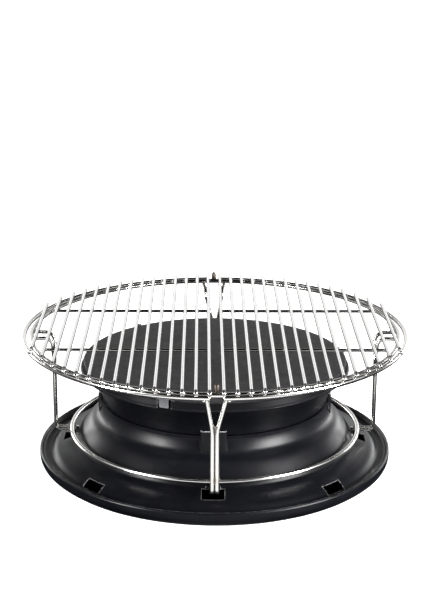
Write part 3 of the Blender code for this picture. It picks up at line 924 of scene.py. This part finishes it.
def rack_leg(label, az, top_welds, low_welds):
    axes = polar_axes(az)
    welds = []
    arm_t = SHOULDER_T + SPLAY * ARM_WELD
    for side in (-1, 1):
        spot = polar(az, side * arm_t, math.sqrt(RING_R ** 2 - arm_t ** 2),
                     RING_Z - RING_D / 2 - WIRE_GAP / 2)
        welds.append(spot)
        top_welds.append(spot)
        bead("rack", spot, axes, (2.6, 2.9, 1.5))
        spot = polar(leg_az(az, 40.0), side * LEG_T, math.sqrt(LOW_R ** 2 - LEG_T ** 2),
                     LOW_Z - LOW_D / 2 - WIRE_GAP / 2)
        welds.append(spot)
        low_welds.append(spot)
        bead("rack", spot, axes, (2.6, 2.4, 1.3))
    # seams between the paired wires: height and half length
    for z, seam in ((FORK_Z + 1.0, 4.6), (58.0, 3.4)):
        for face in (0.95, -0.95):
            bead("rack", polar(leg_az(az, z), 0, LEG_R + face, z), axes,
                 (1.55, 1.05, seam), lump=0.22)
        welds.append(polar(leg_az(az, z), 0, LEG_R, z))
    path = np.array([polar(leg_az(az, z), t, r, z) / MM for t, r, z in hairpin()])
    wire_piece("leg_%s_wire" % label, path, WIRE_D, RACK_STEEL, "rack_leg_%s" % label,
               "rack_steel", welds, reach=0.0085, sides=22, end=0.85, up=axes[1])


def rack_ring(name, node, radius, z, diameter, welds):
    count = 320
    angles = 2 * math.pi * np.arange(count) / count + 0.004
    wire_piece(name, circle_points(radius, angles, z), diameter, RACK_STEEL, node,
               "rack_steel", welds, reach=0.0105, sides=28, closed=True)


def divider_post(label, sign):
    """Turned pin: seat flash, plain shank, soft shoulder and a domed nose."""
    radius, seat_z = POST_D / 2, RING_Z + RING_D / 2 + POST_FLOAT
    dome_z = POST_TOP - POST_DOME
    # (radius, height)
    profile = [(0.05, seat_z), (radius + 0.55, seat_z), (radius + 0.75, seat_z + 0.45),
               (radius + 0.35, seat_z + 1.0), (radius, seat_z + 1.5), (radius, seat_z + 3.0),
               (radius, POST_TOP - 5.0), (radius, dome_z)]
    for i in range(1, 12):
        a = math.pi / 2 * i / 12
        profile.append((radius * math.cos(a), dome_z + POST_DOME * math.sin(a)))
    profile.append((0.05, POST_TOP))
    seg = 32
    verts, faces, flow = [], [], []
    for r, z in profile:
        for j in range(seg):
            a = 2 * math.pi * j / seg
            x, y = r * math.cos(a), r * math.sin(a)
            verts.append((x * MM, (sign * RING_R + y) * MM, z * MM))
            flow.append((z * MM, x * MM, y * MM))
    last = (len(profile) - 1) * seg
    for i in range(0, last, seg):
        for j in range(seg):
            k = (j + 1) % seg
            faces.append((i + j, i + k, i + seg + k, i + seg + j))
    faces.append(tuple(range(seg)))
    faces.append(tuple(last + j for j in reversed(range(seg))))
    verts = np.array(verts)
    # heat tint fades up the pin
    heat = np.clip(1.30 - (verts[:, 2] / MM - seat_z) / 22.0, 0, 1)
    mesh_piece("post_%s_pin" % label, verts, faces, PIN_STEEL,
               node="divider_post_%s" % label, attrs={"flow": flow, "weld": heat})
    bead("rack", np.array((0, sign * RING_R, seat_z - 0.1)) * MM, WORLD_AXES,
         (4.4, 3.9, 1.0), lump=0.10, seg=20)


top_welds, low_welds = [], []
for label, az in COMPASS:
    rack_leg(label, az, top_welds, low_welds)
rack_ring("top_ring_wire", "rack_top_ring", RING_R, RING_Z, RING_D, top_welds)
rack_ring("lower_ring_wire", "rack_lower_ring", LOW_R, LOW_Z, LOW_D, low_welds)
divider_post("front", -1)
divider_post("back", 1)
flush_beads("rack", BODY["rack_top_ring"])

# ==========================================================================
# base shell: bell and drip tray in one pressing; upper shell above the waist
# ==========================================================================
TURN = -1.0               # the base parts stand turned from the compass, degrees
SHEET = 1.4
WAIST_Z = 93.0            # lower end of the upper shell

# outside profiles, (r, z); rounded outlines also have a trim length per corner
BELL = spline([
    (160.4, 89.8), (160.15, 87.6), (160.6, 84.0), (161.5, 80.0), (162.85, 76.0),
    (164.7, 72.0), (166.6, 69.5), (169.0, 67.4), (172.0, 65.6), (175.5, 63.4),
    (179.0, 60.2), (182.3, 56.3), (186.3, 51.1), (190.6, 45.4), (194.2, 40.5),
    (195.8, 37.2), (197.5, 34.6), (200.4, 32.9)])
BELL_LIP = rounded([(163.0, 91.3), (160.8, 91.3), (160.4, 89.8)], [0, 1.0, 0], step=0.2)
TRAY = rounded(
    [(200.4, 32.9), (214.6, 27.0), (227.3, 21.7), (234.2, 14.9), (243.2, 14.8),
     (246.1, 16.9), (246.2, 20.2), (248.5, 22.3), (250.8, 20.2), (250.8, 10.8),
     (248.6, 6.4), (245.0, 3.4), (240.6, 0.0), (231.5, 0.0)],
    [0, 4, 4, 2.6, 1.8, 1.3, 1.6, 1.6, 1.6, 2.6, 2.0, 2.0, 2.0, 0], step=0.25)
UPPER = np.vstack([
    rounded([(177.5, 146.7), (182.6, 146.7), (184.3, 144.6), (184.5, 140.0)],
            [0, 2.0, 2.0, 0], step=0.25)[:-1],
    spline([(184.5, 140.0), (183.8, 134.8), (180.2, 129.8), (173.3, 121.6),
            (167.1, 113.0), (163.3, 104.5), (161.4, 97.8), (160.3, WAIST_Z)])])

# each hole's edge value lays a lighter rim round it, partly wear and partly painted highlight
INNER_HOLE = dict(width=30.0, mid_r=208.0, r_min=199.0, r_max=217.2, z_min=18.0,
                  z_max=45.0, wear_and_highlight=0.58)
OUTER_HOLE = dict(width=32.0, mid_r=228.0, r_min=221.8, r_max=234.3, z_min=6.0,
                  z_max=32.0, wear_and_highlight=0.62)


def pressing(rows, az):
    """Formed sheet: fractions of a millimetre of ovality and ripple."""
    r = rows[:, 0][:, None]
    return (0.10 * np.sin(2 * az + 0.6) + 0.05 * np.sin(5 * az + r * 0.03)
            + 0.03 * np.sin(9 * az - r * 0.05))


def base_shell():
    cuts = [hole[key] for hole in (INNER_HOLE, OUTER_HOLE) for key in ("r_min", "r_max")]
    rows, tangents = pick_rows(np.vstack([BELL_LIP[:-1], BELL[:-1], TRAY]), gap=2.6, turn=7.0,
                               cuts=cuts, cut_z=(12.0, 36.0))
    holes = holes_at([az + TURN for az in (0, 90, 180, 270)], **INNER_HOLE)
    holes += holes_at([az + TURN for az in (45, 135, 225, 315)], **OUTER_HOLE)
    wear_and_highlight = np.zeros(len(rows))
    wear_and_highlight[:2] = 0.30
    wear_and_highlight[-2:] = 1.0
    # painted highlight: a lighter line along the rim crest
    rim_crest = (rows[:, 1] > 21.3) & (rows[:, 0] > 246.0) & (rows[:, 0] < 251)
    wear_and_highlight[rim_crest] = 0.46
    ring_shell("base_shell_skin", rows, tangents, SHEET, BASE_COAT, "base_shell",
               bevel=0.55, edge_rows=wear_and_highlight, relief=pressing, holes=holes)


def upper_shell():
    rows, tangents = pick_rows(UPPER, gap=3.0, turn=7.0)
    wear_and_highlight = np.zeros(len(rows))
    wear_and_highlight[-2:] = 0.3
    ring_shell("upper_shell_skin", rows, tangents, SHEET, SHADED_UPPER_COAT, "upper_shell",
               bevel=0.30, edge_rows=wear_and_highlight, relief=pressing)


base_shell()
upper_shell()

# ==========================================================================
# clips over the waist seam, rest pads below the hairpin feet
# ==========================================================================
CLIP_W, CLIP_ROOT, CLIP_FACE, CLIP_T = 33.3, 39.5, 165.2, 1.7
CLIP_Z0, CLIP_Z1 = 68.5, 100.6
CLIP_CORNER = 2.4         # face columns start this far in from each corner
REST_W, REST_R, REST_TOP, REST_T = 20.0, 198.7, 37.25, 1.3
REST_ROUND, REST_DROP = 1.6, 1.1              # the pad's rounded-off side ends


def shell_radius(z):
    """Outside radius of whichever shell stands at a height near the waist."""
    path = UPPER if z >= WAIST_Z else BELL
    return float(np.interp(z, path[::-1, 1], path[::-1, 0]))


def clip_row(z):
    """Outer and inner (t, r) outlines of a clip at a height."""
    u = (z - CLIP_Z0) / (CLIP_Z1 - CLIP_Z0)
    root = CLIP_ROOT / 2 * (1 - 0.12 * u)
    half = CLIP_W / 2
    back = min(shell_radius(z) - 0.5, CLIP_FACE - 2.4)
    face = CLIP_FACE + 0.25 * math.sin(math.pi * u)      # softly crowned
    path = rounded([(-root, back), (-half, face), (half, face), (root, back)],
                   [0, 1.9, 1.9, 0], step=0.5)
    along = arc_length(path)
    flank_len = along[-1] * 0.5 - half + CLIP_CORNER
    flank_shade_mask = np.linspace(0, 1, 9)[:-1] * flank_len
    stations = np.concatenate([
        flank_shade_mask, flank_len + np.linspace(0, 1, 19) * 2 * (half - CLIP_CORNER),
        along[-1] - flank_shade_mask[::-1]])
    t, r = np.interp(stations, along, path[:, 0]), np.interp(stations, along, path[:, 1])
    heading = np.stack([np.gradient(t), np.gradient(r)], 1)
    heading /= np.linalg.norm(heading, axis=1)[:, None]
    return zip(t, r), zip(t + heading[:, 1] * CLIP_T, r - heading[:, 0] * CLIP_T)


def waist_clip(label, az):
    """Pressed channel, open at the top."""
    zs = np.concatenate([np.linspace(CLIP_Z0, CLIP_Z0 + 5, 5)[:-1],
                         np.linspace(CLIP_Z0 + 5, CLIP_Z1 - 2.0, 10),
                         np.linspace(CLIP_Z1 - 2.0, CLIP_Z1, 4)[1:]])
    outer, inner = [], []
    for z in zs:
        for grid, outline in zip((outer, inner), clip_row(z)):
            grid.append([polar(az, t, r, z) for t, r in outline])
    edge = np.zeros(np.shape(outer)[:2])
    edge[-2:, :] = 0.9
    edge[:2, :] = 0.6
    thick_grid("clip_%s_channel" % label, outer, inner, CLIP_COAT, "waist_clip_" + label,
               edge, bevel=0.32)


def rest_pad(label, az):
    profile = rounded([(193.2, REST_TOP - 0.3), (REST_R, REST_TOP), (REST_R + 0.2, 33.2)],
                      [0, 1.3, 0], step=0.4)
    outer, inner = [], []
    for t in np.linspace(-REST_W / 2, REST_W / 2, 17):
        u = max(0.0, abs(t) - (REST_W / 2 - REST_ROUND)) / REST_ROUND
        drop = REST_DROP * (1 - math.sqrt(max(0.0, 1 - u * u)))
        outer.append([polar(az, t, r - 0.4 * drop, z - drop) for r, z in profile])
        inner.append([polar(az, t, r - REST_T, z - REST_T - 0.2 * drop) for r, z in profile])
    edge = np.zeros(np.shape(outer)[:2])
    edge[[0, -1], :] = 1.0
    thick_grid("rest_%s_pad" % label, outer, inner, CLIP_COAT, "rack_rest_" + label,
               edge, bevel=0.25)


for build in (waist_clip, rest_pad):
    for label, az in COMPASS:
        build(label, az + TURN)

# ==========================================================================
# deflector plate and the keeper blades that hold it
# ==========================================================================
NOTCH_AZ = (-21.0, 99.0, 219.0)
KEEP_W, KEEP_R, KEEP_T, KEEP_TURN = 13.0, 187.0, 1.75, -0.45
KEEP_Z0, KEEP_Z1, KEEP_ROUND = 137.6, 150.6, 2.2
PLATE_TOP, LIP = 148.5, 136.0
NOTCH = dict(width=17.5, mid_r=187.0, r_min=184.4, r_max=190.4, z_min=LIP - 1,
             z_max=PLATE_TOP + 1, wear_and_highlight=1.0)


def keeper(number, az):
    """Upright blade with rounded top corners."""
    round_z = KEEP_Z1 - KEEP_ROUND
    zs = np.concatenate([np.linspace(KEEP_Z0, round_z, 9),
                         round_z + KEEP_ROUND * np.sin(np.linspace(0.15, 1, 7) * math.pi / 2)])
    outer, inner = [], []
    for z in zs:
        u = max(0.0, (z - round_z) / KEEP_ROUND)
        half = KEEP_W / 2 - KEEP_ROUND * (1 - math.sqrt(max(0.0, 1 - u * u)))
        lean = 0.18 * math.sin((z - KEEP_Z0) / (KEEP_Z1 - KEEP_Z0) * math.pi)
        ts = np.linspace(-half, half, 13)
        rs = np.sqrt(np.maximum(KEEP_R ** 2 - ts ** 2, 0)) - lean
        outer.append([polar(az, t, r, z) for t, r in zip(ts, rs)])
        inner.append([polar(az, t, r - KEEP_T, z) for t, r in zip(ts, rs)])
    edge = np.zeros(np.shape(outer)[:2])
    edge[[0, -1], :] = 1.0
    edge[:, [0, -1]] = 1.0
    thick_grid("keeper_%d_blade" % number, outer, inner, TAB_STEEL,
               "plate_keeper_%d" % number, edge, bevel=0.3)


def settle(rows, az):
    """The face of the plate is not quite flat."""
    r = rows[:, 0][:, None]
    flat = np.clip((180.0 - r) / 60.0, 0, 1)
    return flat * (0.06 * np.sin(2 * az + r * 0.02) + 0.03 * np.sin(3 * az + 1.0)) - 0.05


def deflector_plate():
    disc = densify([(6.0, PLATE_TOP), (181.0, PLATE_TOP)], step=1.0)
    skirt = rounded(
        [(181.0, PLATE_TOP), (186.2, PLATE_TOP), (187.3, PLATE_TOP - 4.6),
         (188.5, LIP + 3.4), (190.3, LIP + 2.1), (190.4, LIP + 0.6), (189.3, LIP),
         (188.4, LIP + 0.5)],
        [0, 2.5, 1.5, 1.4, 0.9, 0.7, 0.6, 0], step=0.2)
    rows, tangents = pick_rows(np.vstack([disc[:-1], skirt]), gap=6.0, turn=9.0,
                               cuts=[NOTCH["r_min"]], cut_z=(140.0, 149.0))
    # the sheet thins towards the lip
    thick = np.where(rows[:, 1] > LIP + 4.5, 1.5, 0.75)
    thick = np.where(rows[:, 1] < LIP + 2.4, 0.5, thick)
    wear_and_highlight = np.zeros(len(rows))
    # painted highlight: a lighter line along the rolled lower edge of the lip
    wear_and_highlight[rows[:, 1] < LIP + 2.2] = 0.85
    wear_and_highlight[(rows[:, 0] > 184.0) & (rows[:, 1] > PLATE_TOP - 2.2)] = 0.35
    ring_shell("deflector_plate_skin", rows, tangents, thick, PLATE, "deflector_plate",
               bevel=0.22, edge_rows=wear_and_highlight, relief=settle,
               holes=holes_at(NOTCH_AZ, **NOTCH), pole=True)


for k, az in enumerate(NOTCH_AZ):
    keeper(k + 1, az + KEEP_TURN)
deflector_plate()


# ==========================================================================
# studio: pale floor, soft light, camera
# ==========================================================================
def floor_material():
    """White to the camera with a painted shadow round the base, painted dark under the base, patchy
    to every other ray.
    """
    material, tree = new_material("studio_floor")
    pos = tree.add("ShaderNodeNewGeometry").outputs["Position"]
    x, y, _ = tree.separate(pos)
    radius = tree.math("SQRT", tree.plus(tree.times(x, x), tree.times(y, y)))
    # painted shade: inside this radius, under the base, the floor gets no glow and a near-black
    # diffuse
    open_floor = tree.smooth(radius, span=(0.2330, 0.2395))
    grain = tree.remap(tree.noise(pos, scale=3.0), span=(0.3, 0.7), out=(0.985, 1.0))
    # painted shadow: the camera sees the floor dimmer near the base and brighter further out
    camera_glow_with_shadow = tree.smooth(radius, span=(0.26, 0.9), out=(0.80, 1.40))
    # bright patches the metal sees in front, behind and to the left
    side_x = tree.size(x)
    front = tree.times(tree.smooth(y, span=(-0.22, -0.32)),
                       tree.smooth(side_x, span=(0.36, 0.22)))
    front = tree.times(front, tree.smooth(y, span=(-0.80, -1.60), out=(1.0, 0.45)))
    behind = tree.times(tree.smooth(y, span=(0.24, 0.42)),
                        tree.smooth(side_x, span=(0.50, 1.1), out=(0.20, 1.1)))
    left = tree.times(tree.smooth(x, span=(-0.30, -0.36)),
                      tree.smooth(y, span=(-0.25, -0.02), out=(0.0, 0.13)))
    ambient = 0.012
    seen = tree.plus(tree.plus(front, behind), tree.plus(left, ambient))
    ray = tree.add("ShaderNodeLightPath").outputs["Is Camera Ray"]
    glow = tree.plus(tree.times(camera_glow_with_shadow, ray), tree.times(seen, tree.minus(1.0, ray)))
    glow = tree.times(tree.times(open_floor, glow), grain)
    emission = tree.add("ShaderNodeEmission", {"Color": grey(1.0), "Strength": glow})
    patches = tree.mix(tree.plus(front, behind, clamp=True), grey(0.004), grey(0.12))
    lit = tree.mix(ray, patches, grey(0.80))
    diffuse = tree.add("ShaderNodeBsdfDiffuse",
                       {"Color": tree.mix(open_floor, grey(0.03), lit)})
    tree.surface(tree.add("ShaderNodeAddShader",
                          {0: emission.outputs[0], 1: diffuse.outputs[0]}).outputs[0])
    return material


def studio_floor():
    half, z = 24.0, -0.0004
    material = floor_material()
    mesh = bpy.data.meshes.new("studio_floor")
    mesh.from_pydata([(-half, -half, z), (half, -half, z), (half, half, z), (-half, half, z)],
                     [], [(0, 1, 2, 3)])
    mesh.materials.append(material)
    floor = bpy.data.objects.new("studio_floor", mesh)
    bpy.context.scene.collection.objects.link(floor)


# wall brightness against height: 0 straight down, 1 straight up
WALL_STOPS = ((0.0, 1.0), (0.58, 1.0), (0.64, 0.70), (0.68, 0.50), (0.72, 0.20),
              (0.78, 0.05), (0.87, 0.02))


def studio_world():
    """White to the camera; other rays see a wall, side wings and side strips."""
    wall_gain, wing_gain, strip_gain, ambient = 1.35, 7.5, 0.9, 0.007
    world = bpy.data.worlds.new("studio")
    bpy.context.scene.world = world
    world.use_nodes = True
    tree = Tree(world.node_tree)
    coords = tree.add("ShaderNodeTexCoord")
    x, y, z = tree.separate(coords.outputs["Generated"])
    depth = tree.separate(coords.outputs["Camera"])[2]
    lift = tree.remap(z, span=(-1.0, 1.0))
    ramp = tree.add("ShaderNodeValToRGB", {0: lift})
    stops = ramp.color_ramp
    stops.interpolation = "LINEAR"
    while len(stops.elements) < len(WALL_STOPS):
        stops.elements.new(0.5)
    for element, (position, level) in zip(stops.elements, WALL_STOPS):
        element.position = position
        element.color = (*grey(level), 1.0)
    ahead = tree.smooth(depth, span=(-0.30, 0.12))
    flag = tree.smooth(tree.size(x), span=(0.90, 0.78), out=(0.02, 1.0))
    wing = tree.times(tree.smooth(tree.size(x), span=(0.36, 0.56)),
                      tree.smooth(z, span=(0.32, 0.17)))
    glow = tree.plus(tree.times(ramp.outputs[0], wall_gain), tree.times(wing, wing_gain))
    glow = tree.times(tree.times(glow, ahead), flag)
    strip = tree.times(tree.smooth(tree.size(x), span=(0.40, 0.58)),
                       tree.smooth(y, span=(0.20, -0.05)))
    strip = tree.times(strip, tree.times(tree.smooth(z, span=(0.15, 0.24)),
                                         tree.smooth(z, span=(0.60, 0.44))))
    glow = tree.plus(glow, tree.times(strip, strip_gain))
    glow = tree.plus(glow, ambient)
    path = tree.add("ShaderNodeLightPath")
    glow = tree.math("MAXIMUM", glow, path.outputs["Is Camera Ray"])
    background = tree.add("ShaderNodeBackground", {"Color": grey(1.0), "Strength": glow})
    tree.add("ShaderNodeOutputWorld", {0: background.outputs[0]})


def softbox(name, az, elevation, width, height, radiance):
    """Rectangular soft light facing the grill."""
    aim, distance = Vector((0.0, 0.0, 0.08)), 2.3
    a, e = math.radians(az), math.radians(elevation)
    outward = Vector((math.sin(a) * math.cos(e), -math.cos(a) * math.cos(e), math.sin(e)))
    light = bpy.data.lights.new(name, "AREA")
    light.shape = "RECTANGLE"
    light.size = width
    light.size_y = height
    light.energy = radiance * math.pi * width * height
    ob = bpy.data.objects.new(name, light)
    bpy.context.scene.collection.objects.link(ob)
    ob.location = aim + outward * distance
    ob.rotation_euler = outward.to_track_quat("Z", "Y").to_euler()


def studio_camera():
    """Looks back along +Y and down, from in front of the grill."""
    place = (-0.018205, -1.963579, 0.823305)
    yaw, pitch, roll = (math.radians(angle) for angle in (0.62425, 16.85422, 0.2964))
    forward = Vector((math.sin(yaw) * math.cos(pitch), math.cos(yaw) * math.cos(pitch),
                      -math.sin(pitch)))
    level_right = forward.cross(Vector((0, 0, 1))).normalized()
    level_up = level_right.cross(forward)
    right = math.cos(roll) * level_right + math.sin(roll) * level_up
    up = -math.sin(roll) * level_right + math.cos(roll) * level_up
    data = bpy.data.cameras.new("camera")
    camera = bpy.data.objects.new("camera", data)
    pose = Matrix(((*right, 0), (*up, 0), (*(-forward), 0), (0, 0, 0, 1))).transposed()
    pose.translation = Vector(place)
    camera.matrix_world = pose
    data.lens = 86.7148515
    data.sensor_width = 36
    data.sensor_fit = "AUTO"
    data.clip_start = 0.01
    bpy.context.scene.collection.objects.link(camera)
    bpy.context.scene.camera = camera


studio_floor()
studio_world()
softbox("key_left", az=-56, elevation=13, width=0.62, height=1.05, radiance=66.0)
softbox("key_right", az=56, elevation=16, width=0.95, height=1.20, radiance=74.0)
studio_camera()

view = bpy.context.scene.view_settings
view.view_transform = "Standard"
view.look = "None"
view.exposure = 0.0
view.gamma = 1.0
